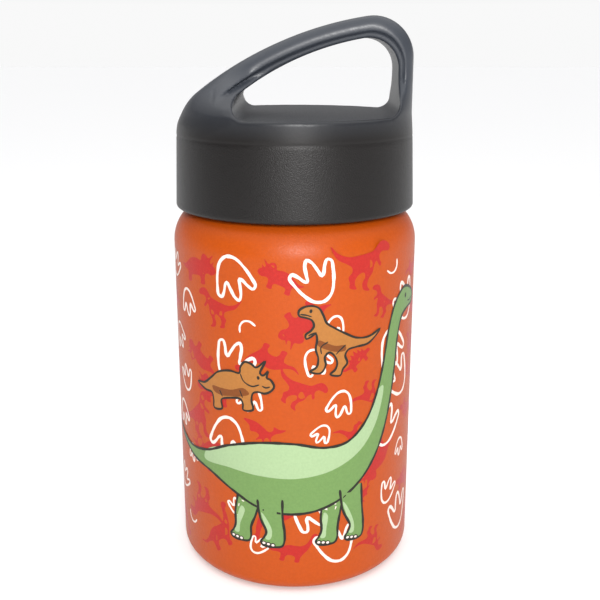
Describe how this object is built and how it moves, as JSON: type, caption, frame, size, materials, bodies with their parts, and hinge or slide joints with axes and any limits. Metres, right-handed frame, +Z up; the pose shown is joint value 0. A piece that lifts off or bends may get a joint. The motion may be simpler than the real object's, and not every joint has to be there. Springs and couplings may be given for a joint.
{
  "type": "kids water bottle",
  "caption": "Small double-walled vacuum bottle for a child: painted steel body with a printed pattern, and a black screw cap with a moulded carry loop.",
  "frame": {"origin": "centre of the base, on the plane that the bottle stands on", "axes": "+Z up along the bottle's axis; +X towards the upright leg of the carry loop; -Y towards the viewer of the printed front"},
  "size_m": [0.073, 0.073, 0.1646],
  "materials": {
    "powder_coat": "satin",
    "raw_steel": "satin",
    "solder_glass": "satin",
    "foil": "polished",
    "silicone": "matte",
    "cap_plastic": "satin",
    "liner_plastic": "matte",
    "foam": "matte"
  },
  "bodies": {
    "flask": {"outer_shell": "powder_coat", "outer_base": "powder_coat", "base_cover": "raw_steel", "vacuum_seal": "solder_glass", "getter": "raw_steel", "getter_clip": "raw_steel", "inner_liner": "raw_steel", "inner_base": "raw_steel", "radiation_foil": "foil"},
    "seal": {"seal_ring": "silicone"},
    "cap": {"cap_shell": "cap_plastic", "cap_liner": "liner_plastic", "insulation_disc": "foam", "plug_cover": "liner_plastic"}
  },
  "joints": [
    {"name": "cap_lift", "type": "slide", "parent": "flask", "child": "seal", "axis": [0, 0, 1], "range_m": [0, 0.0481]},
    {"name": "cap_turn", "type": "hinge", "parent": "seal", "child": "cap", "pos_m": [0, 0, 0.125], "axis": [0, 0, 1], "range_deg": [0, 2880]}
  ],
  "couplings": [
    {"joint": "cap_lift", "follows": "cap_turn", "m_per_rad": 0.00095493}
  ]
}
